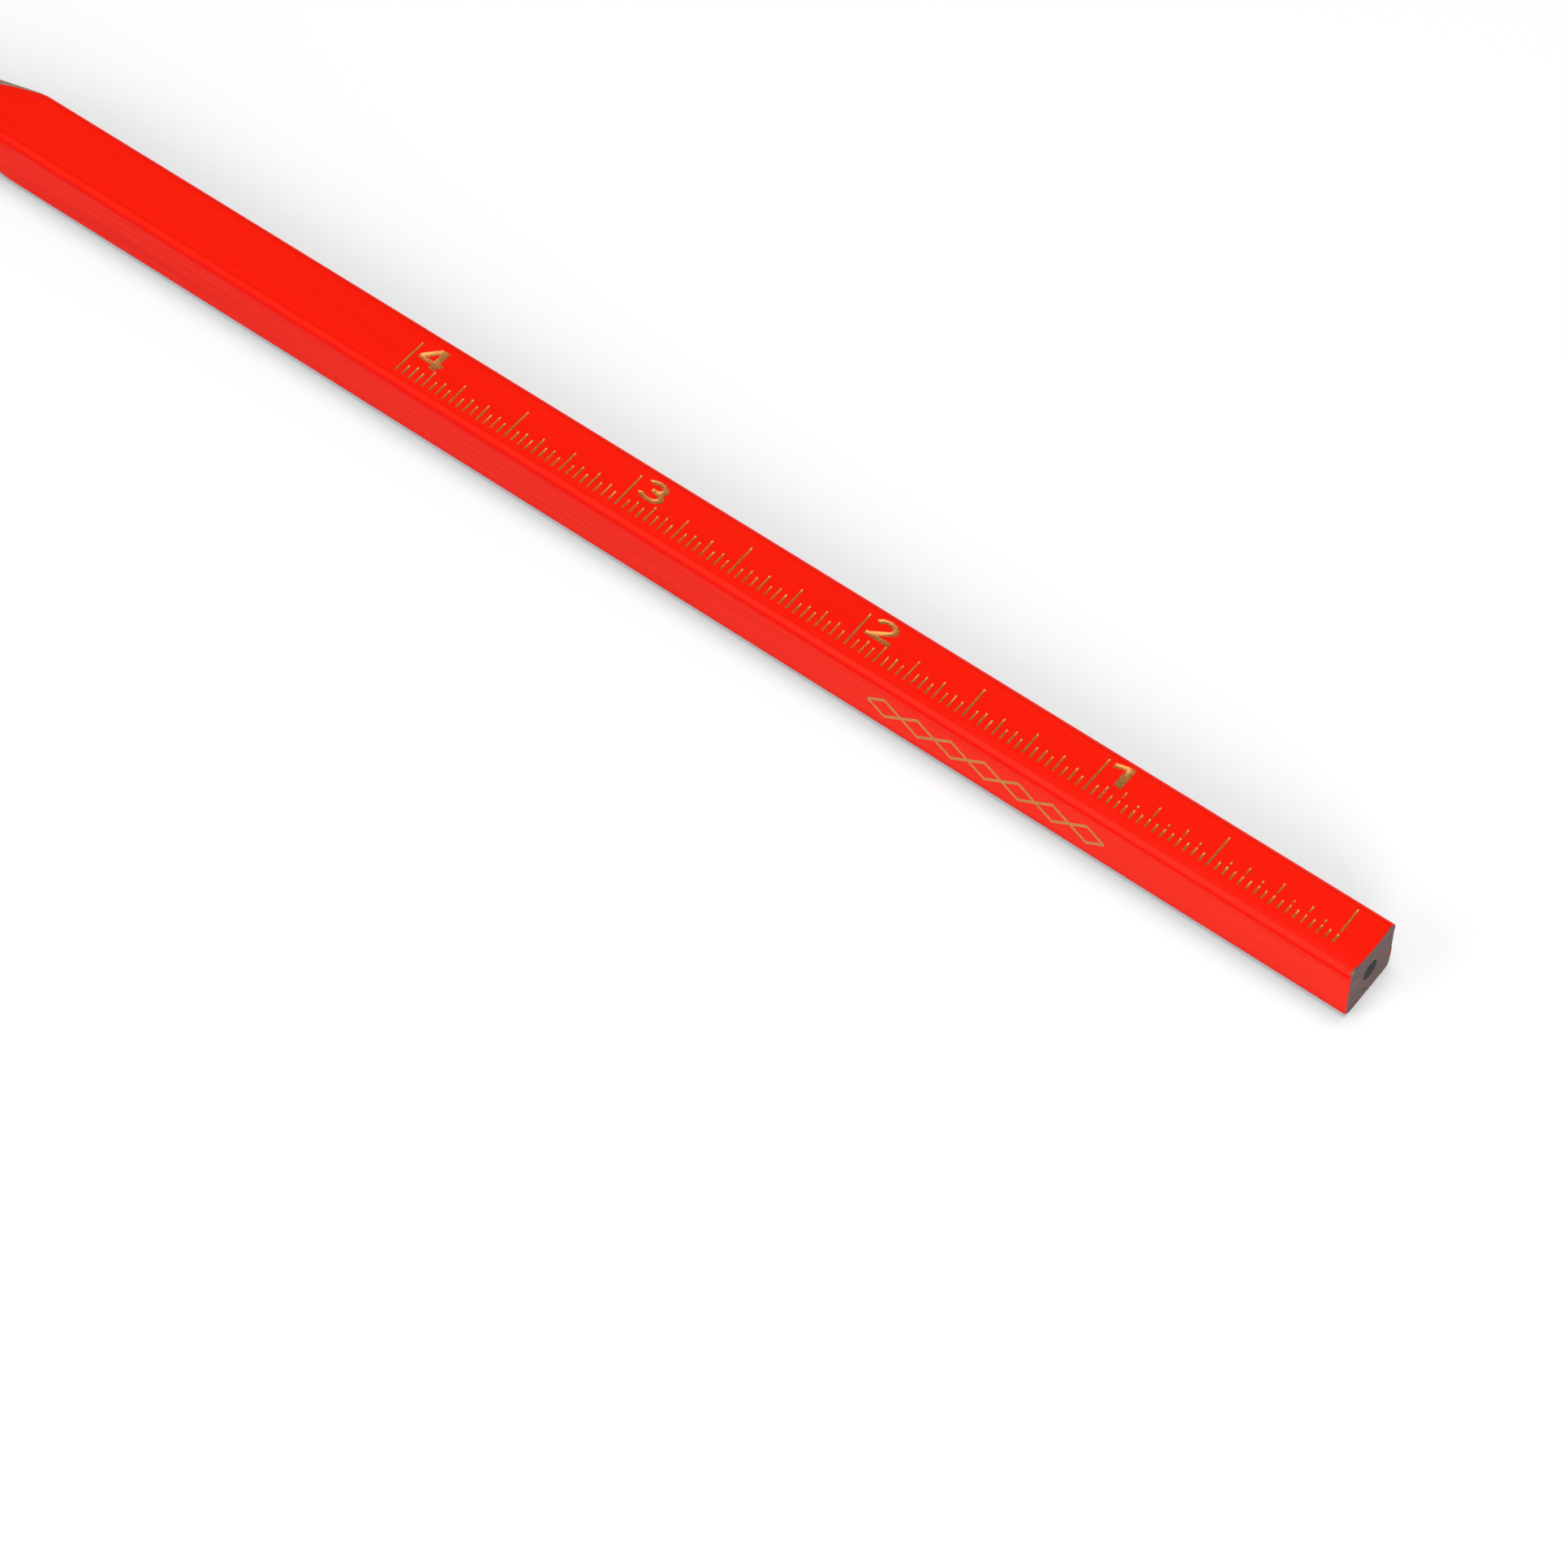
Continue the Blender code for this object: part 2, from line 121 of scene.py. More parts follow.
# Ruler strokes: how wide they are, how unevenly they stand, and where the die missed a strip
STROKE_WIDTH = 0.21
TICK_WIDTH_RANGE = (0.18, 0.22)
TICK_DRIFT = 0.03
MILLIMETRE_TICK = 1.2
INCH_TICKS = {                       # thirty-seconds between ticks: (name, length)
    8: ("quarter", 2.5), 4: ("eighth", 2.05), 2: ("sixteenth", 1.6), 1: ("thirty_second", 1.25),
}
BREAK_LOW, BREAK_HIGH = 1.0, 1.26    # above a broken stroke's lower end
BROKEN_TICKS = 30                    # this many ticks from the butt are broken
CROSSING_TICK = 1.5                  # broken ticks longer than this go on above the break

INCH_FACE, FRONT_FACE, CM_FACE = range(3)
FACE_COUNT = 4

# ---------------------------------------------------------------- materials


def srgb(red, green, blue):
    """Linear colour of an 8-bit screen colour."""
    channels = [value / 255 for value in (red, green, blue)]
    linear = [c / 12.92 if c <= 0.04045 else ((c + 0.055) / 1.055) ** 2.4 for c in channels]
    return (*linear, 1.0)


class Look:
    """A Principled material, with short names for the nodes that pattern it. Scales are per mm."""

    def __init__(self, name, **values):
        self.material = bpy.data.materials.new(name)
        self.material.use_nodes = True
        self.nodes = self.material.node_tree.nodes
        self.links = self.material.node_tree.links
        self.shader = self.nodes["Principled BSDF"]
        self.place = self.nodes.new("ShaderNodeTexCoord").outputs["Object"]
        for socket, value in values.items():
            self.shader.inputs[socket.replace("_", " ")].default_value = value

    def add(self, kind, inputs, **settings):
        made = self.nodes.new(kind)
        for name, value in settings.items():
            setattr(made, name, value)
        for socket, value in inputs.items():
            if isinstance(value, bpy.types.NodeSocket):
                self.links.new(value, made.inputs[socket])
            else:
                made.inputs[socket].default_value = value
        return made

    def mapped(self, scale, turn=(0, 0, 0), shift=(0, 0, 0)):
        scale = [value / MM for value in scale]
        made = self.add("ShaderNodeMapping", {"Vector": self.place, "Scale": scale, "Rotation": turn,
                                              "Location": shift})
        return made.outputs["Vector"]

    def noise(self, scale, detail=3.0, rough=0.5, warp=0.0, shift=(0, 0, 0)):
        made = self.add("ShaderNodeTexNoise", {
            "Vector": self.mapped(scale, shift=shift), "Scale": 1.0, "Detail": detail, "Roughness": rough,
            "Distortion": warp,
        })
        return made.outputs["Fac"]

    def remap(self, value, low, high, to_low=0.0, to_high=1.0):
        made = self.add("ShaderNodeMapRange", {
            "Value": value, "From Min": low, "From Max": high, "To Min": to_low, "To Max": to_high,
        }, interpolation_type="SMOOTHSTEP")
        return made.outputs["Result"]

    def math(self, operation, first, second=0.0):
        return self.add("ShaderNodeMath", {0: first, 1: second}, operation=operation).outputs[0]

    def axis(self, name):
        """One coordinate, in mm."""
        split = self.add("ShaderNodeSeparateXYZ", {"Vector": self.place})
        return self.math("MULTIPLY", split.outputs[name], 1 / MM)

    def mix(self, amount, first, second):
        made = self.nodes.new("ShaderNodeMix")
        made.data_type = "RGBA"
        colours = [item for item in made.inputs if item.type == "RGBA"]
        for socket, value in zip((made.inputs[0], *colours), (amount, first, second)):
            if isinstance(value, bpy.types.NodeSocket):
                self.links.new(value, socket)
            else:
                socket.default_value = value
        return [item for item in made.outputs if item.type == "RGBA"][0]

    def bump(self, height, distance, strength=1.0, under=None):
        inputs = {"Height": height, "Distance": distance * MM, "Strength": strength}
        if under:
            inputs["Normal"] = under
        return self.add("ShaderNodeBump", inputs).outputs["Normal"]

    def use(self, **sockets):
        for socket, value in sockets.items():
            self.links.new(value, self.shader.inputs[socket.replace("_", " ")])
        return self.material


def lacquer_material():
    """Bright red lacquer: clean on top, and rubbed to a streaky satin on the sides and rounded edges.
    Painted light: a highlight along the rounded edges, bands of painted shade beside it, and sides
    painted lighter toward the butt.
    """
    look = Look("red_lacquer", IOR=1.45, Specular_IOR_Level=0.03)
    streaks = look.noise((0.03, 3.2, 3.2), 5.0, 0.65)
    hairs = look.noise((0.05, 9.0, 9.0), 2.0, shift=(8, 3, 5))
    broad = look.noise((0.02, 0.35, 0.35), 2.0)
    peel = look.noise((1.6, 2.2, 2.2), 2.0)
    height = look.math("ABSOLUTE", look.math("SUBTRACT", look.axis("Z"), AXIS_Z))
    depth = look.math("ABSOLUTE", look.axis("Y"))
    # A ramp from 0 far from the butt to 0.35 at the butt. It strengthens the streaks and the painted edge
    # highlight, raises the sides' mask, and paints the sides lighter.
    toward_butt = look.remap(look.axis("X"), -40.0, 70.0, 0.0, 0.35)
    side = look.remap(look.math("SUBTRACT", height, toward_butt), REACH + 0.05, REACH - 1.0)
    round_y = look.math("MAXIMUM", look.math("SUBTRACT", depth, REACH), 0.001)
    round_z = look.math("MAXIMUM", look.math("SUBTRACT", height, REACH), 0.001)
    angle = look.math("DEGREES", look.math("ARCTAN2", round_y, round_z))
    # Painted highlight: the middle of each rounded edge is painted a lighter pink (252, 51, 35), more
    # strongly toward the butt.
    edge = look.math("MULTIPLY", look.remap(angle, 10.0, 32.0), look.remap(angle, 66.0, 46.0))
    edge = look.math("MULTIPLY", edge, look.math("ADD", look.math("MULTIPLY", toward_butt, 1.5), 0.14))
    # Painted shade: a darker red band just past the flat top's edge, where the rounding begins.
    painted_gutter_shade = look.math("MULTIPLY", look.remap(angle, 2.0, 10.0), look.remap(angle, 26.0, 15.0))
    tone = look.mix(look.remap(broad, 0.35, 0.7), srgb(250, 30, 11), srgb(246, 27, 9))
    tone = look.mix(look.remap(streaks, 0.35, 0.75, 0.0, 0.3), tone, srgb(238, 23, 8))
    worn = look.math("ADD", look.math("MULTIPLY", toward_butt, 1.4), 0.5)
    dark_hairs = look.math("MULTIPLY", look.remap(hairs, 0.44, 0.30, 0.0, 0.5), worn)
    pale_hairs = look.math("MULTIPLY", look.remap(hairs, 0.60, 0.72, 0.0, 0.5), worn)
    stripes = look.math("MULTIPLY", look.remap(streaks, 0.40, 0.62), worn)
    side_dust_and_light = look.mix(stripes, srgb(245, 40, 26), srgb(224, 30, 18))
    side_dust_and_light = look.mix(dark_hairs, side_dust_and_light, srgb(206, 25, 15))
    side_dust_and_light = look.mix(pale_hairs, side_dust_and_light, srgb(255, 70, 52))
    # Painted shade: a deeper, more saturated red band on the lower part of the rounded edges, just above
    # the sides.
    painted_shade_band = look.math("MULTIPLY", look.remap(angle, 54.0, 72.0), look.remap(side, 0.5, 0.0))
    # Painted light: the sides are painted a lighter pink (255, 49, 31) toward the butt.
    side_dust_and_light = look.mix(look.math("MULTIPLY", toward_butt, 1.8), side_dust_and_light, srgb(255, 49, 31))
    # Painted shade in the band where the rounding begins.
    tone = look.mix(look.math("MULTIPLY", painted_gutter_shade, 0.55), tone, srgb(226, 20, 8))
    # Painted shade on the lower part of the rounded edges.
    tone = look.mix(look.math("MULTIPLY", painted_shade_band, 0.75), tone, srgb(236, 13, 4))
    # Painted highlight along the rounded edges.
    tone = look.mix(edge, tone, srgb(252, 51, 35))
    tone = look.mix(side, tone, side_dust_and_light)
    specks = look.remap(look.noise((3.0, 4.5, 4.5), 1.0, shift=(3, 1, 7)), 0.80, 0.83, 0.0, 0.4)
    tone = look.mix(specks, tone, srgb(255, 120, 96))
    gloss = look.remap(look.noise((0.06, 1.6, 1.6), 4.0), 0.3, 0.75, 0.26, 0.38)
    satin = look.remap(streaks, 0.3, 0.7, 0.46, 0.62)
    rough = look.math("ADD", gloss, look.math("MULTIPLY", side, look.math("SUBTRACT", satin, gloss)))
    depth_share = look.math("MULTIPLY", side, look.math("MULTIPLY", worn, 0.8))
    relief = look.math("MULTIPLY", streaks, look.math("ADD", depth_share, 0.25))
    normal = look.bump(peel, 0.012, 0.35, look.bump(relief, 0.026, 0.45))
    return look.use(Base_Color=tone, Roughness=rough, Normal=normal)


def foil_material():
    """Dull gold hot-stamping foil, a little broken up by the die."""
    look = Look("gold_foil", Metallic=0.75, Specular_IOR_Level=0.3)
    grain = look.noise((5.0, 5.0, 5.0), 3.0, 0.6)
    patch = look.noise((1.1, 1.1, 1.1), 2.0, shift=(2, 5, 1))
    tone = look.mix(look.remap(grain, 0.3, 0.7), srgb(190, 117, 54), srgb(218, 146, 78))
    tone = look.mix(look.remap(patch, 0.58, 0.78, 0.0, 0.4), tone, srgb(154, 88, 42))
    rough = look.remap(grain, 0.3, 0.7, 0.36, 0.50)
    return look.use(Base_Color=tone, Roughness=rough, Normal=look.bump(grain, 0.008, 0.5))


def wood_material(name, light, dark, shift):
    """Softwood: fine fibres along the pencil, darker growth rings, and the saw's grime on the butt."""
    look = Look(name, Specular_IOR_Level=0.25)
    fibre = look.noise((0.12, 7.0, 7.0), 6.0, 0.7, shift=shift)
    rings = look.add("ShaderNodeTexWave", {
        "Vector": look.mapped((0.01, 0.55, 0.9), turn=(0.5, 0, 0), shift=shift), "Scale": 0.75,
        "Distortion": 2.2, "Detail": 3.0, "Detail Scale": 1.4,
    }, wave_type="BANDS", bands_direction="Y").outputs["Fac"]
    tone = look.mix(look.remap(fibre, 0.3, 0.72), dark, light)
    tone = look.mix(look.remap(rings, 0.45, 0.95, 0.0, 0.34), tone, [c * 0.55 for c in dark[:3]] + [1.0])
    at_butt = look.remap(look.axis("X"), BUTT_X - 0.35, BUTT_X - 0.15)
    smear = look.noise((0.4, 0.55, 1.3), 4.0, 0.6, 0.6, shift=(1, 4, 2))
    pores = look.noise((1.0, 5.5, 5.5), 3.0, 0.75)
    grains = look.noise((2.0, 9.0, 9.0), 2.0, 0.6, shift=(1, 7, 4))
    end_tone = look.mix(look.remap(smear, 0.34, 0.68), srgb(122, 94, 88), srgb(95, 77, 79))
    end_tone = look.mix(look.remap(pores, 0.34, 0.5, 0.6, 0.0), end_tone, srgb(60, 46, 47))
    end_tone = look.mix(look.remap(grains, 0.36, 0.46, 0.5, 0.0), end_tone, srgb(54, 42, 44))
    end_tone = look.mix(look.remap(pores, 0.55, 0.68, 0.0, 0.5), end_tone, srgb(150, 128, 125))
    end_tone = look.mix(look.remap(grains, 0.55, 0.66, 0.0, 0.5), end_tone, srgb(164, 140, 136))
    end_tone = look.mix(look.remap(rings, 0.5, 0.95, 0.0, 0.45), end_tone, srgb(84, 62, 56))
    tone = look.mix(at_butt, tone, end_tone)
    normal = look.bump(pores, 0.05, 0.5, look.bump(fibre, 0.05, 0.7))
    return look.use(Base_Color=tone, Roughness=look.remap(fibre, 0.2, 0.8, 0.62, 0.85), Normal=normal)


def graphite_material():
    """Dull black where it is sawn, and burnished grey where the sharpener cut it."""
    look = Look("graphite", Specular_IOR_Level=0.1)
    grain = look.noise((6.0, 6.0, 6.0), 4.0, 0.7)
    rub = look.noise((2.0, 1.0, 1.0), 3.0, shift=(5, 2, 8))
    sharpened = look.remap(look.axis("X"), BUTT_X - 30, BUTT_X - 60)
    sawn = look.mix(look.remap(grain, 0.3, 0.7), srgb(22, 19, 22), srgb(58, 51, 54))
    cut = look.mix(look.remap(grain, 0.3, 0.7), srgb(58, 57, 60), srgb(88, 87, 92))
    tone = look.mix(sharpened, sawn, cut)
    burnish = look.math("MULTIPLY", sharpened, 0.22)
    rough = look.math("SUBTRACT", look.remap(rub, 0.3, 0.7, 0.55, 0.7), burnish)
    metal = look.math("MULTIPLY", sharpened, 0.45)
    normal = look.bump(grain, 0.02, 0.5)
    return look.use(Base_Color=tone, Roughness=rough, Metallic=metal, Normal=normal)


def glue_material():
    """Brown glue, hidden under the saw's grime at the butt."""
    look = Look("wood_glue")
    grain = look.noise((0.8, 6.0, 6.0), 3.0)
    tone = look.mix(look.remap(grain, 0.3, 0.7), srgb(92, 70, 48), srgb(120, 94, 66))
    sawn = look.mix(look.remap(grain, 0.3, 0.7), srgb(84, 72, 70), srgb(106, 90, 86))
    tone = look.mix(look.remap(look.axis("X"), BUTT_X - 0.3, BUTT_X - 0.1), tone, sawn)
    return look.use(Base_Color=tone, Roughness=look.remap(grain, 0.3, 0.7, 0.4, 0.6))


LACQUER = lacquer_material()
FOIL = foil_material()
FRONT_WOOD = wood_material("front_wood", srgb(196, 158, 128), srgb(162, 124, 98), (0, 0, 0))
REAR_WOOD = wood_material("rear_wood", srgb(184, 146, 120), srgb(146, 112, 92), (9, 4, 2))
GRAPHITE = graphite_material()
GLUE = glue_material()

# ---------------------------------------------------------------- making pieces


def make_piece(name, shape, look, replaced=(), sharp_degrees=32):
    """A piece that rides on the pencil, from a bmesh in mm. The bmesh is freed."""
    bmesh.ops.recalc_face_normals(shape, faces=shape.faces)
    bmesh.ops.scale(shape, verts=shape.verts, vec=(MM, MM, MM))
    mesh = bpy.data.meshes.new(name)
    shape.to_mesh(mesh)
    shape.free()
    mesh.materials.append(look)
    mesh.shade_smooth()
    mesh.set_sharp_from_angle(angle=math.radians(sharp_degrees))
    piece = bpy.data.objects.new(name, mesh)
    bpy.context.scene.collection.objects.link(piece)
    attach(piece, "root")
    if replaced:
        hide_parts(*replaced)
    return piece


def face_matrix(face):
    """Takes (x, across, out) on one of the four faces to the frame's axes, in mm."""
    roll = Matrix.Rotation(face * math.pi / 2, 4, "X")
    return Matrix.Translation((0, 0, AXIS_Z)) @ roll @ Matrix.Translation((0, 0, SIDE / 2))


def swell(point, outward):
    """Lacquer isn't quite flat over the wood: moves a surface point in or out a little."""
    slow = noise.noise(Vector((point.x * 0.06, point.y * 0.5, point.z * 0.5 + 11)))
    fine = noise.noise(Vector((point.x * 0.12, point.y * 2.2 + 5, point.z * 2.2)))
    return point + outward * (SWELL_SLOW * slow + SWELL_FINE * fine - SWELL_INSET)


# ---------------------------------------------------------------- foil marks


def grow_rim(shape, margin):
    """Moves the rim of a flat sheet outwards, within its plane."""
    shape.normal_update()
    moves = {}
    for vert in shape.verts:
        outward = Vector((0, 0, 0))
        for edge in vert.link_edges:
            if edge.is_boundary:
                loop = edge.link_loops[0]
                along = loop.link_loop_next.vert.co - loop.vert.co
                outward += along.cross(loop.face.normal).normalized()
        moves[vert] = outward.normalized() * margin
    for vert, move in moves.items():
        vert.co += move


def flat_sheet(outlines):
    """A sheet at height 0 from outlines of (x, y) points."""
    shape = bmesh.new()
    for outline in outlines:
        shape.faces.new([shape.verts.new((x, y, 0)) for x, y in outline])
    bmesh.ops.remove_doubles(shape, verts=shape.verts, dist=OUTLINE_WELD)
    bmesh.ops.recalc_face_normals(shape, faces=shape.faces)
    if shape.faces and sum(face.normal.z for face in shape.faces) < 0:
        bmesh.ops.reverse_faces(shape, faces=shape.faces)
    return shape


def cad_outlines(node, face):
    """The outlines of a CAD mark's top, as (x, y) points on its face."""
    to_face = face_matrix(face).inverted()
    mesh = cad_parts[node].data
    places = [to_face @ (vert.co / MM) for vert in mesh.vertices]
    top = max(place.z for place in places)
    outlines = []
    for polygon in mesh.polygons:
        corners = [places[index] for index in polygon.vertices]
        if all(corner.z > top - FLAT_TOLERANCE for corner in corners):
            outlines.append([(corner.x, corner.y) for corner in corners])
    return outlines


def cad_span(node, face):
    """(middle x, low y, high y) of a CAD line, on its face."""
    points = [point for outline in cad_outlines(node, face) for point in outline]
    xs = [x for x, _ in points]
    ys = [y for _, y in points]
    return (min(xs) + max(xs)) / 2, min(ys), max(ys)


def stroke_outline(x, blunt_y, blob_y, width, rng):
    """A straight foil stroke with a slightly swollen end, as a worn die leaves it."""
    way = 1 if blob_y > blunt_y else -1
    half = width / 2
    blob = half * rng.uniform(1.12, 1.38)
    length = abs(blob_y - blunt_y)
    lean = rng.uniform(-0.02, 0.02)
    neck = max(length - 2.6 * blob, 0.35 * length)
    right = [(half * 0.7, 0), (half, min(0.07, neck * 0.3))]
    right += [(half * rng.uniform(0.86, 1.05), neck * 0.5), (half * 0.95, neck)]
    right += [(blob, length - blob), (blob * 0.72, length - 0.3 * blob), (blob * 0.25, length)]
    left = [(-across, along) for across, along in reversed(right)]
    return [(x + across + lean * along, blunt_y + way * along) for across, along in right + left]


class Mark:
    """One foil mark on a face: flat outlines, and the CAD nodes that it stands for."""

    def __init__(self, name, face, outlines, replaced=()):
        self.name = name
        self.face = face
        self.outlines = outlines
        self.replaced = replaced


def centimetre_marks():
    rng = random.Random(31)
    marks = []
    spans = [cad_span(f"cm_line_{count}", CM_FACE) for count in range(11)]
    top = spans[0][2]
    for count, (x, low, high) in enumerate(spans):
        name = f"cm_line_{count}"
        stroke = stroke_outline(x, high, low, STROKE_WIDTH, rng)
        marks.append(Mark("foil_" + name, CM_FACE, [stroke], (name,)))
    for count in range(10):
        name = f"cm_half_{count}"
        x, low, high = cad_span(name, CM_FACE)
        stroke = stroke_outline(x, high, low, STROKE_WIDTH, rng)
        marks.append(Mark("foil_" + name, CM_FACE, [stroke], (name,)))
    ticks = []
    for tick in range(100):
        if tick % 5:
            x = spans[0][0] + (spans[10][0] - spans[0][0]) * tick / 100
            drift = rng.uniform(-TICK_DRIFT, TICK_DRIFT)
            width = rng.uniform(*TICK_WIDTH_RANGE)
            ticks.append(stroke_outline(x, top + drift, top - MILLIMETRE_TICK + drift, width, rng))
    marks.append(Mark("foil_millimetre_ticks", CM_FACE, ticks))
    numerals = [f"cm_numeral_{count}" for count in range(1, 10)]
    numerals += ["cm_numeral_10_one", "cm_numeral_10_zero"]
    for name in numerals:
        marks.append(Mark("foil_" + name, CM_FACE, cad_outlines(name, CM_FACE), (name,)))
    return marks


def inch_marks():
    rng = random.Random(17)
    marks = []
    spans = [cad_span(f"inch_line_{count}", INCH_FACE) for count in range(5)]
    for count, (x, low, high) in enumerate(spans):
        name = f"inch_line_{count}"
        strokes = [stroke_outline(x, low, high, STROKE_WIDTH, rng)]
        if count == 0:
            strokes = [
                stroke_outline(x, low, low + BREAK_LOW, STROKE_WIDTH, rng),
                stroke_outline(x, low + BREAK_HIGH, high, STROKE_WIDTH, rng),
            ]
        marks.append(Mark("foil_" + name, INCH_FACE, strokes, (name,)))
    for count in range(4):
        name = f"inch_half_{count}"
        x, low, high = cad_span(name, INCH_FACE)
        stroke = stroke_outline(x, low, high, STROKE_WIDTH, rng)
        marks.append(Mark("foil_" + name, INCH_FACE, [stroke], (name,)))
    ticks = {name: [] for name, _ in INCH_TICKS.values()}
    for tick in range(1, 128):
        if tick % 16 == 0:
            continue
        name, length = next(INCH_TICKS[step] for step in INCH_TICKS if tick % step == 0)
        share = tick / 128
        x = spans[0][0] + (spans[4][0] - spans[0][0]) * share
        base = spans[0][1] + (spans[4][1] - spans[0][1]) * share
        base += rng.uniform(-TICK_DRIFT, TICK_DRIFT)
        width = rng.uniform(*TICK_WIDTH_RANGE)
        if tick < BROKEN_TICKS:
            # The die missed a strip beside the seam here, which breaks the strokes in two.
            ticks[name].append(stroke_outline(x, base, base + BREAK_LOW, width, rng))
            if length > CROSSING_TICK:
                start = min(BREAK_HIGH, length - 0.24)
                ticks[name].append(stroke_outline(x, base + start, base + length, width * 0.9, rng))
        else:
            top = base + length * rng.uniform(0.95, 1.04)
            ticks[name].append(stroke_outline(x, base, top, width, rng))
    for name, outlines in ticks.items():
        marks.append(Mark(f"foil_{name}_inch_ticks", INCH_FACE, outlines))
    for count in range(1, 5):
        name = f"inch_numeral_{count}"
        marks.append(Mark("foil_" + name, INCH_FACE, cad_outlines(name, INCH_FACE), (name,)))
    return marks


def make_foil(mark):
    """A shallow tray of foil: its rim lies on the lacquer, and its floor is pressed into the groove."""
    shape = flat_sheet(mark.outlines)
    bmesh.ops.translate(shape, verts=shape.verts, vec=(0, 0, FOIL_UNDERSIDE))
    grown = bmesh.ops.extrude_face_region(shape, geom=shape.faces[:], use_keep_orig=True)["geom"]
    top_verts = [item for item in grown if isinstance(item, bmesh.types.BMVert)]
    top_faces = [item for item in grown if isinstance(item, bmesh.types.BMFace)]
    bmesh.ops.translate(shape, verts=top_verts, vec=(0, 0, FOIL_LIP - FOIL_UNDERSIDE))
    bmesh.ops.recalc_face_normals(shape, faces=shape.faces)
    sink = FOIL_SINK_SIDE if mark.face == FRONT_FACE else FOIL_SINK
    bmesh.ops.inset_region(
        shape, faces=top_faces, thickness=FOIL_RIM, depth=-sink, use_even_offset=True, use_boundary=True,
    )
    to_world = face_matrix(mark.face)
    outward = to_world.to_3x3() @ Vector((0, 0, 1))
    for vert in shape.verts:
        vert.co = swell(to_world @ vert.co, outward)
    return make_piece(mark.name, shape, FOIL, mark.replaced, sharp_degrees=50)


# ---------------------------------------------------------------- lacquer skin

FLAT_STEPS = 51
CORNER_STEPS = 12
STATIONS = 90
SUPPORT_ROWS = range(6, FLAT_STEPS - 5, 8)    # rows of points that keep the flats' triangles even


def tip_ragged(y, z):
    """How far the sharpener tore the lacquer's end back, in mm."""
    coarse = noise.noise(Vector((y * 1.4, z * 1.4, 3.7)))
    fine = noise.noise(Vector((y * 6.0, z * 6.0, 9.1)))
    return 0.30 + 0.22 * coarse + 0.10 * fine


def butt_chip(y, z):
    """How far the saw chipped the lacquer's edge back at the butt, in mm."""
    coarse = noise.noise(Vector((y * 1.1 + 4, z * 1.1, 1.3)))
    fine = noise.noise(Vector((y * 5.0, z * 5.0 + 2, 6.4)))
    chip = max(0.0, 0.08 + 0.30 * coarse + 0.12 * fine)
    if z > SIDE - 0.4:
        # On the inch face the cut runs out of square, then breaks back in two steps.
        chip = 0.02 + 0.05 * max(0.0, y + 0.5) + 0.03 * abs(fine)
        chip += 0.11 * (y < -0.6) + 0.12 * (y < -2.3) + 0.03 * max(0.0, -0.6 - y)
    return chip


class Column:
    """One place around the pencil's section, on the outside and on the inside of the lacquer."""

    def __init__(self, face, y, z, normal_y, normal_z):
        matrix = face_matrix(face)
        self.outer = matrix @ Vector((0, y, z))
        self.normal = (matrix.to_3x3() @ Vector((0, normal_y, normal_z))).normalized()
        self.inner = self.outer - self.normal * LACQUER_THICKNESS
        torn = tip_ragged(self.outer.y, self.outer.z)
        chip = butt_chip(self.outer.y, self.outer.z)
        self.outer_start = self.cone_x(self.outer) + torn
        self.inner_start = self.cone_x(self.inner) + 0.25 * torn
        self.outer_end = BUTT_X - OUTER_CUT_BACK - chip
        self.inner_end = BUTT_X - INNER_CUT_BACK - max(0.0, chip - CHIP_ON_OUTSIDE)

    @staticmethod
    def cone_x(point):
        return APEX_X + math.hypot(point.y, point.z - AXIS_Z) / CONE_SLOPE

    def outer_at(self, share):
        x = self.outer_start + (self.outer_end - self.outer_start) * share
        return Vector((x, self.outer.y, self.outer.z))


def flat_columns(face):
    """From the face's far side to its near side."""
    steps = [REACH - 2 * REACH * step / FLAT_STEPS for step in range(FLAT_STEPS + 1)]
    return [Column(face, y, 0, 0, 1) for y in steps]


def corner_columns(face):
    """Around the rounded edge to the next face, without either end."""
    columns = []
    for step in range(1, CORNER_STEPS):
        angle = step / CORNER_STEPS * math.pi / 2
        sine, cosine = math.sin(angle), math.cos(angle)
        radius = EDGE_RADIUS
        if face == INCH_FACE:
            radius -= DIP_DEPTH * math.exp(-((math.degrees(angle) - DIP_ANGLE) / DIP_SPREAD) ** 2)
        y, z = -REACH - radius * sine, radius * cosine - EDGE_RADIUS
        columns.append(Column(face, y, z, -sine, cosine))
    return columns


def add_quad(shape, corners):
    shape.faces.new([shape.verts.new(corner) for corner in corners])


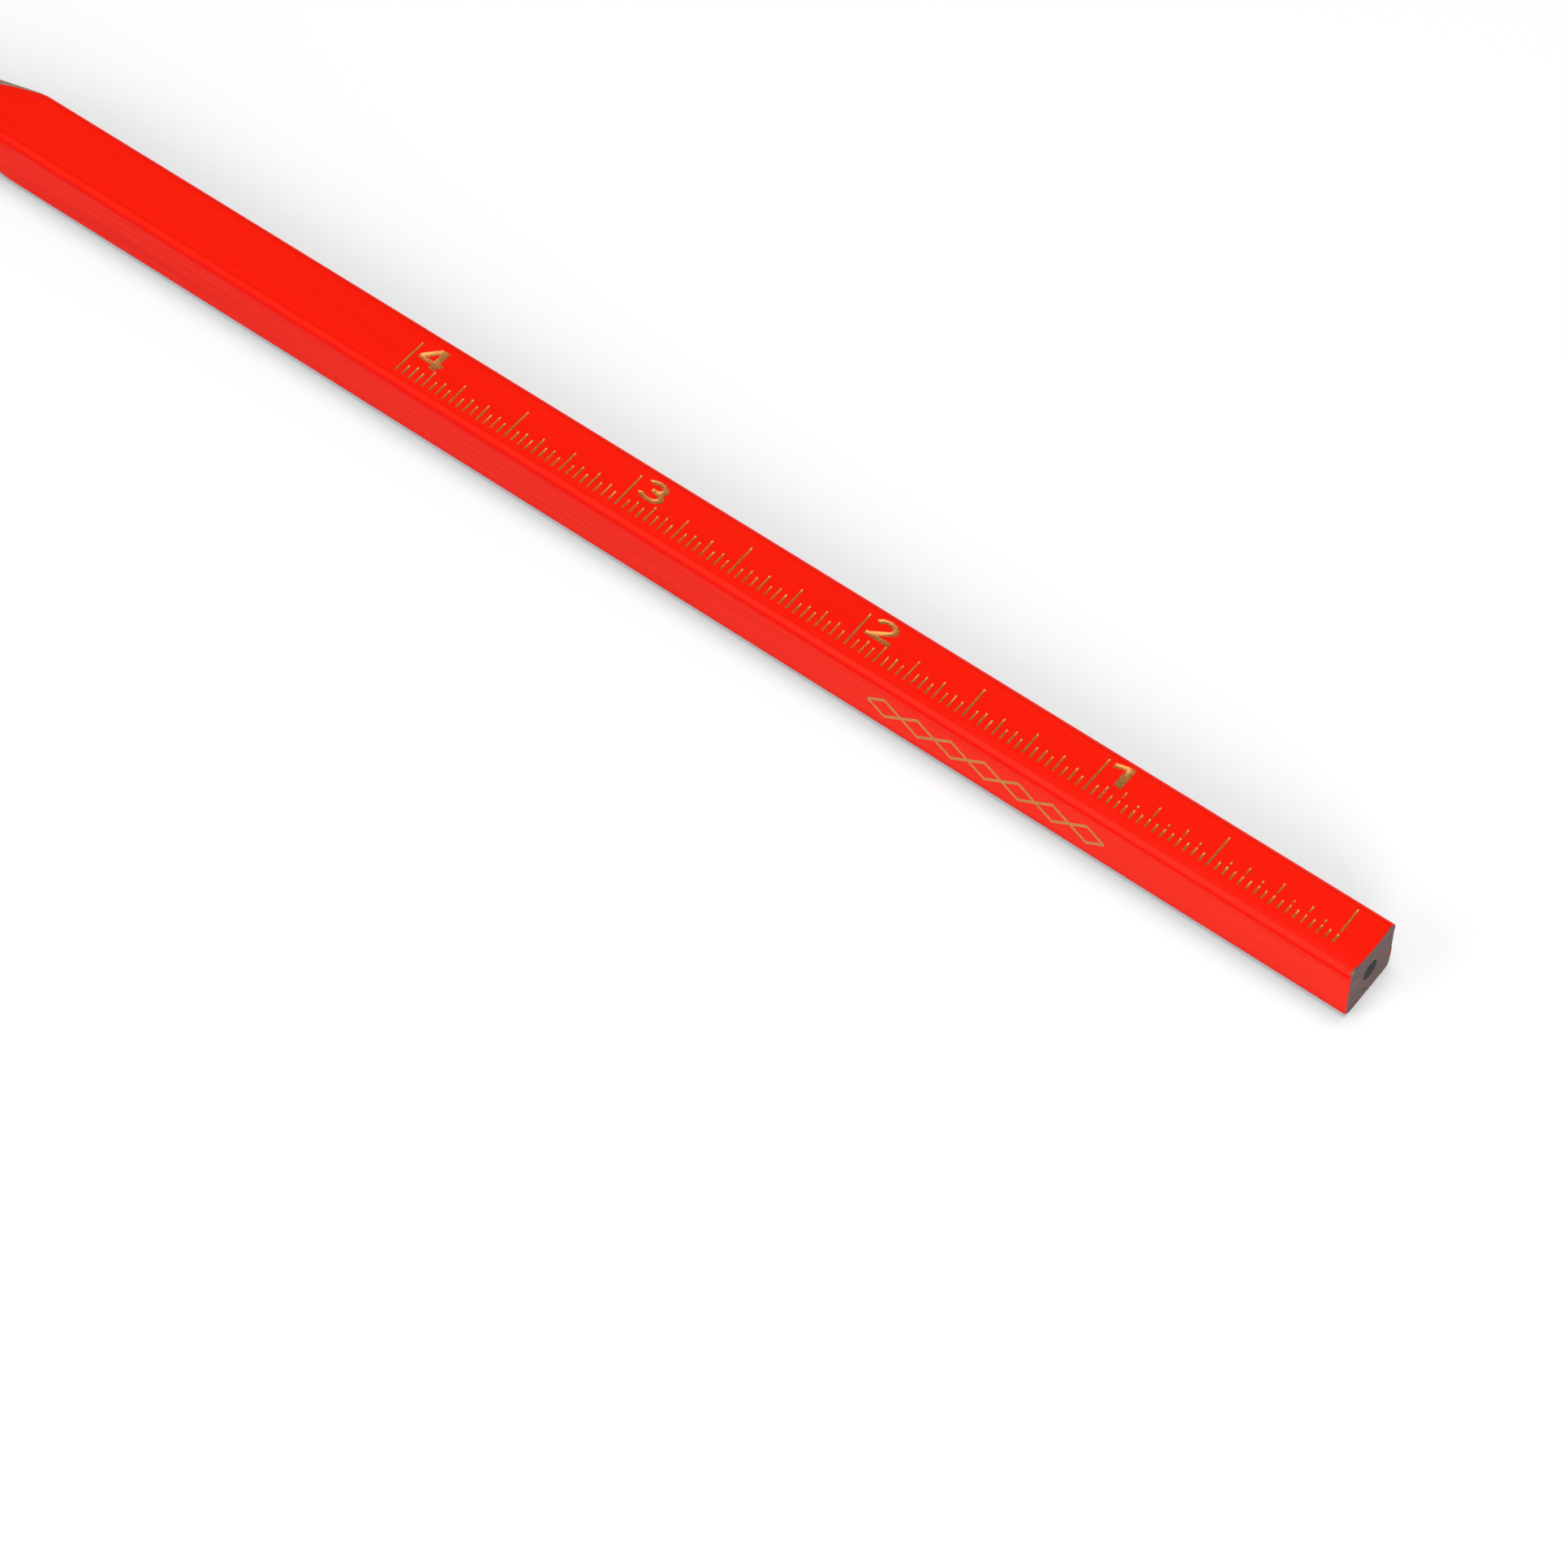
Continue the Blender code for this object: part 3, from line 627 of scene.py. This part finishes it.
def add_flat_face(shape, face, columns, marks):
    """The flat part of one face, with a groove pressed in for every mark on it."""
    to_world = face_matrix(face)
    to_face = to_world.inverted()
    outward = to_world.to_3x3() @ Vector((0, 0, 1))
    shares = [station / STATIONS for station in range(STATIONS + 1)]
    far_side = [columns[0].outer_at(share) for share in shares]
    near_side = [columns[-1].outer_at(share) for share in shares]
    tip_edge = [column.outer_at(0) for column in columns]
    butt_edge = [column.outer_at(1) for column in columns]
    rim = far_side + butt_edge[1:-1] + near_side[::-1] + tip_edge[-2:0:-1]
    points = [(to_face @ place).xy for place in rim]
    outlines = [list(range(len(points)))[::-1]]      # counter-clockwise, as the triangulation needs
    limit = REACH - GROOVE_CLEARANCE
    for mark in marks:
        sheet = flat_sheet(mark.outlines)
        grow_rim(sheet, GROOVE_MARGIN)
        for polygon in sheet.faces:
            outlines.append(list(range(len(points), len(points) + len(polygon.verts))))
            points += [Vector((vert.co.x, min(max(vert.co.y, -limit), limit))) for vert in polygon.verts]
        sheet.free()
    for share in shares[2:-2]:
        for row in SUPPORT_ROWS:
            points.append((to_face @ columns[row].outer_at(share)).xy)
    places, _, triangles, _, _, sources = delaunay_2d_cdt(points, [], outlines, 0, 1e-5, True)
    plate = bmesh.new()
    verts = [plate.verts.new((place.x, place.y, 0)) for place in places]
    pressed = []
    for triangle, source in zip(triangles, sources):
        if 0 in source:
            made = plate.faces.new([verts[index] for index in triangle])
            if len(source) > 1:
                pressed.append(made)
    if pressed:
        grown = bmesh.ops.extrude_face_region(plate, geom=pressed)["geom"]
        floor = [item for item in grown if isinstance(item, bmesh.types.BMVert)]
        bmesh.ops.translate(plate, verts=floor, vec=(0, 0, -GROOVE_DEPTH))
        bmesh.ops.delete(plate, geom=pressed, context="FACES_ONLY")
    loose = [vert for vert in plate.verts if not vert.link_faces]
    bmesh.ops.delete(plate, geom=loose, context="VERTS")
    for vert in plate.verts:
        vert.co = swell(to_world @ vert.co, outward)
    copies = {vert: shape.verts.new(vert.co) for vert in plate.verts}
    for polygon in plate.faces:
        shape.faces.new([copies[vert] for vert in polygon.verts])
    plate.free()


def make_lacquer_skin(marks):
    shape = bmesh.new()
    around = []
    for face in range(FACE_COUNT):
        flat = flat_columns(face)
        add_flat_face(shape, face, flat, [mark for mark in marks if mark.face == face])
        corner = corner_columns(face)
        following = flat_columns((face + 1) % FACE_COUNT)[0]
        strip = [flat[-1], *corner, following]
        for first, second in zip(strip, strip[1:]):
            for station in range(STATIONS):
                near, far = station / STATIONS, (station + 1) / STATIONS
                add_quad(shape, [
                    swell(first.outer_at(near), first.normal),
                    swell(second.outer_at(near), second.normal),
                    swell(second.outer_at(far), second.normal),
                    swell(first.outer_at(far), first.normal),
                ])
        around += flat + corner
    for first, second in zip(around, around[1:] + around[:1]):
        rows = []
        for column in (first, second):
            rows.append((
                swell(column.outer_at(0), column.normal),
                Vector((column.inner_start, column.inner.y, column.inner.z)),
                Vector((column.inner_end, column.inner.y, column.inner.z)),
                swell(column.outer_at(1), column.normal),
            ))
        for level in range(3):
            add_quad(shape, (rows[0][level], rows[0][level + 1], rows[1][level + 1], rows[1][level]))
    bmesh.ops.remove_doubles(shape, verts=shape.verts, dist=SKIN_WELD)
    return make_piece("lacquer_skin", shape, LACQUER, ("lacquer_coat",))


# ---------------------------------------------------------------- wood and lead


def section_radius(angle):
    """Distance from the axis to the wood's rounded square section in a direction."""
    across, up = abs(math.cos(angle)), abs(math.sin(angle))
    flat = WOOD_HALF / max(across, up)
    reach = WOOD_HALF - WOOD_EDGE_RADIUS
    if min(across, up) * flat <= reach:
        return flat
    along = reach * (across + up)
    return along + math.sqrt(along * along - 2 * reach * reach + WOOD_EDGE_RADIUS ** 2)


CONE_STEPS = 56
BODY_STEPS = 3
BUTT_STEPS = 22
SLAT_STEPS = 120
LEAD_SEGMENTS = 72
LEAD_CONE_STEPS = 40
LEAD_CLEARANCE = 0.002


def slat_profile(angle):
    """(x, radius) around a slat's half section: up the cone, along the body, and down the butt."""
    inner = LEAD_RADIUS + FIT_GAP
    outer = section_radius(angle)
    points = []
    for step in range(CONE_STEPS + 1):
        radius = inner + (outer - inner) * step / CONE_STEPS
        x = APEX_X + radius / CONE_SLOPE
        fibre = noise.noise(Vector((x * 0.25, angle * 9.0, 2.0)))
        blade = math.sin(x * 5.0 + 2.0 * noise.noise(Vector((x * 0.6, angle * 1.5, 4.0))))
        worn = 0.014 * fibre + 0.004 * blade + 0.018
        if step == 0:
            worn += 0.02 * abs(noise.noise(Vector((angle * 3.0, 0.5, 0.5))))
        points.append((x, max(radius - worn, inner)))
    body_start = points[-1][0]
    for step in range(1, BODY_STEPS + 1):
        points.append((body_start + (BUTT_X - 0.01 - body_start) * step / BODY_STEPS, outer))
    for step in range(1, BUTT_STEPS + 1):
        radius = outer + (inner - outer) * step / BUTT_STEPS
        y, z = radius * math.cos(angle), radius * math.sin(angle)
        grain = noise.noise(Vector((y * 2.0, z * 2.0, 7.0)))
        grain += 0.6 * noise.noise(Vector((y * 7, z * 7, 3.0)))
        points.append((BUTT_X - 0.025 + 0.014 * grain, radius))
    return points


def make_slat(name, side, look, node):
    """Half of the casing on one side of the seam."""
    shape = bmesh.new()
    loops = []
    for step in range(SLAT_STEPS + 1):
        angle = math.pi * (step / SLAT_STEPS - 0.5)
        loop = []
        for x, radius in slat_profile(angle if side > 0 else math.pi - angle):
            y = side * max(radius * math.cos(angle), SEAM_HALF)
            loop.append(shape.verts.new((x, y, AXIS_Z + radius * math.sin(angle))))
        loops.append(loop)
    for first, second in zip(loops, loops[1:]):
        count = len(first)
        for index in range(count):
            after = (index + 1) % count
            shape.faces.new((first[index], first[after], second[after], second[index]))
    shape.faces.new(loops[0])
    shape.faces.new(loops[-1])
    return make_piece(name, shape, look, (node,), sharp_degrees=40)


def make_lead():
    """The graphite core: a worn point, a cone with the sharpener's rings, and a sawn butt."""
    cone_end = APEX_X + LEAD_RADIUS / CONE_SLOPE
    profile = [(TIP_X + 0.02, 0.05), (TIP_X + 0.05, 0.12), (TIP_X + 0.14, 0.19)]
    start = TIP_X + 0.3
    for step in range(LEAD_CONE_STEPS + 1):
        x = start + (cone_end - start) * step / LEAD_CONE_STEPS
        profile.append((x, (x - APEX_X) * CONE_SLOPE - 0.008 - 0.004 * math.sin(x * 7.0)))
    body_radius = LEAD_RADIUS - LEAD_CLEARANCE
    profile += [(cone_end + 0.1, body_radius), (BUTT_X - 0.06, body_radius)]
    profile += [(BUTT_X - 0.035, LEAD_RADIUS * share) for share in (0.97, 0.75, 0.5, 0.25, 0.08)]
    shape = bmesh.new()
    loops = []
    for x, radius in profile:
        ring = []
        for step in range(LEAD_SEGMENTS):
            angle = step / LEAD_SEGMENTS * math.tau
            y, z = radius * math.cos(angle), radius * math.sin(angle)
            rough = 0.012 * noise.noise(Vector((x * 0.9, y * 3.0, z * 3.0))) if x > cone_end else 0.0
            if x < cone_end:
                place = Vector((x * 0.5, math.cos(angle) * 2, math.sin(angle) * 2))
                facet = 1 - 0.012 * (1 + noise.noise(place))
                y, z = y * facet, z * facet
            ring.append(shape.verts.new((x - abs(rough), y, AXIS_Z + z)))
        loops.append(ring)
    for first, second in zip(loops, loops[1:]):
        for step in range(LEAD_SEGMENTS):
            after = (step + 1) % LEAD_SEGMENTS
            shape.faces.new((first[step], first[after], second[after], second[step]))
    shape.faces.new(loops[0])
    shape.faces.new(loops[-1])
    return make_piece("lead_core", shape, GRAPHITE, ("graphite_lead",), sharp_degrees=45)


# ---------------------------------------------------------------- the pencil

MARKS = centimetre_marks() + inch_marks()
ORNAMENT = cad_outlines("side_ornament", FRONT_FACE)
MARKS.append(Mark("foil_side_ornament", FRONT_FACE, ORNAMENT, ("side_ornament",)))
for mark in MARKS:
    make_foil(mark)
CASING = [
    make_lacquer_skin(MARKS),
    make_slat("front_slat_wood", -1, FRONT_WOOD, "front_slat"),
    make_slat("rear_slat_wood", 1, REAR_WOOD, "rear_slat"),
]
for piece in CASING:
    piece.visible_diffuse = False       # its colour doesn't tint the pale floor beside it
make_lead()
for node in ("upper_glue_line", "lower_glue_line"):
    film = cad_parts[node]
    film.data.materials.clear()
    film.data.materials.append(GLUE)

# ---------------------------------------------------------------- floor, lights and camera


FLOOR_HALF_SIZE = 6.0
FLOOR_GAP = 0.00002
LIGHTS = {
    # name: (place, watts, size), aimed at the middle of the pencil
    "top": ((0.08, 0.06, 1.1), 6.9, 0.6),
    "left_key": ((-0.40, -0.75, 0.60), 2.0, 0.5),
    "right_key": ((0.52, -0.48, 0.27), 1.7, 0.35),
}
WORLD_STRENGTH = 0.31
CAMERA_PLACE = Vector((0.1805, -0.1928, 0.3455))
CAMERA_FORWARD = Vector((-0.3498, 0.4322, -0.8311))
CAMERA_TILT = math.radians(1.45)
CAMERA_LENS_MM = 109.95
CAMERA_SENSOR_MM = 36.0


def make_floor():
    size = FLOOR_HALF_SIZE
    mesh = bpy.data.meshes.new("floor")
    corners = [(-size, -size, 0), (size, -size, 0), (size, size, 0), (-size, size, 0)]
    mesh.from_pydata(corners, [], [(0, 1, 2, 3)])
    look = bpy.data.materials.new("floor_white")
    look.use_nodes = True
    shader = look.node_tree.nodes["Principled BSDF"]
    shader.inputs["Base Color"].default_value = (1, 1, 1, 1)
    shader.inputs["Roughness"].default_value = 0.9
    shader.inputs["Specular IOR Level"].default_value = 0.0
    mesh.materials.append(look)
    floor = bpy.data.objects.new("floor", mesh)
    floor.location.z = CAD_BOUNDS[0][2] - FLOOR_GAP
    bpy.context.scene.collection.objects.link(floor)


def add_light(name, place, watts, size):
    data = bpy.data.lights.new(name, "AREA")
    data.energy = watts
    data.size = size
    lamp = bpy.data.objects.new(name, data)
    lamp.location = place
    lamp.rotation_euler = (-Vector(place)).to_track_quat("-Z", "Y").to_euler()
    bpy.context.scene.collection.objects.link(lamp)


def make_lights():
    for name, settings in LIGHTS.items():
        add_light(name, *settings)
    world = bpy.data.worlds.new("soft_studio")
    world.use_nodes = True
    background = world.node_tree.nodes["Background"]
    background.inputs["Color"].default_value = (1, 1, 1, 1)
    background.inputs["Strength"].default_value = WORLD_STRENGTH
    bpy.context.scene.world = world


def make_camera():
    """Looks down at the butt half, so that the sharpened end runs out of the picture."""
    forward = CAMERA_FORWARD.normalized()
    level_right = forward.cross(Vector((0, 0, 1))).normalized()
    level_up = level_right.cross(forward)
    right = level_right * math.cos(CAMERA_TILT) - level_up * math.sin(CAMERA_TILT)
    up = level_up * math.cos(CAMERA_TILT) + level_right * math.sin(CAMERA_TILT)
    data = bpy.data.cameras.new("camera")
    data.lens = CAMERA_LENS_MM
    data.sensor_width = CAMERA_SENSOR_MM
    data.clip_start = 0.01
    data.clip_end = 50.0
    camera = bpy.data.objects.new("camera", data)
    turn = Matrix((right, up, -forward)).transposed().to_4x4()
    camera.matrix_world = Matrix.Translation(CAMERA_PLACE) @ turn
    bpy.context.scene.collection.objects.link(camera)
    bpy.context.scene.camera = camera


make_floor()
make_lights()
make_camera()
bpy.context.scene.view_settings.view_transform = "Standard"
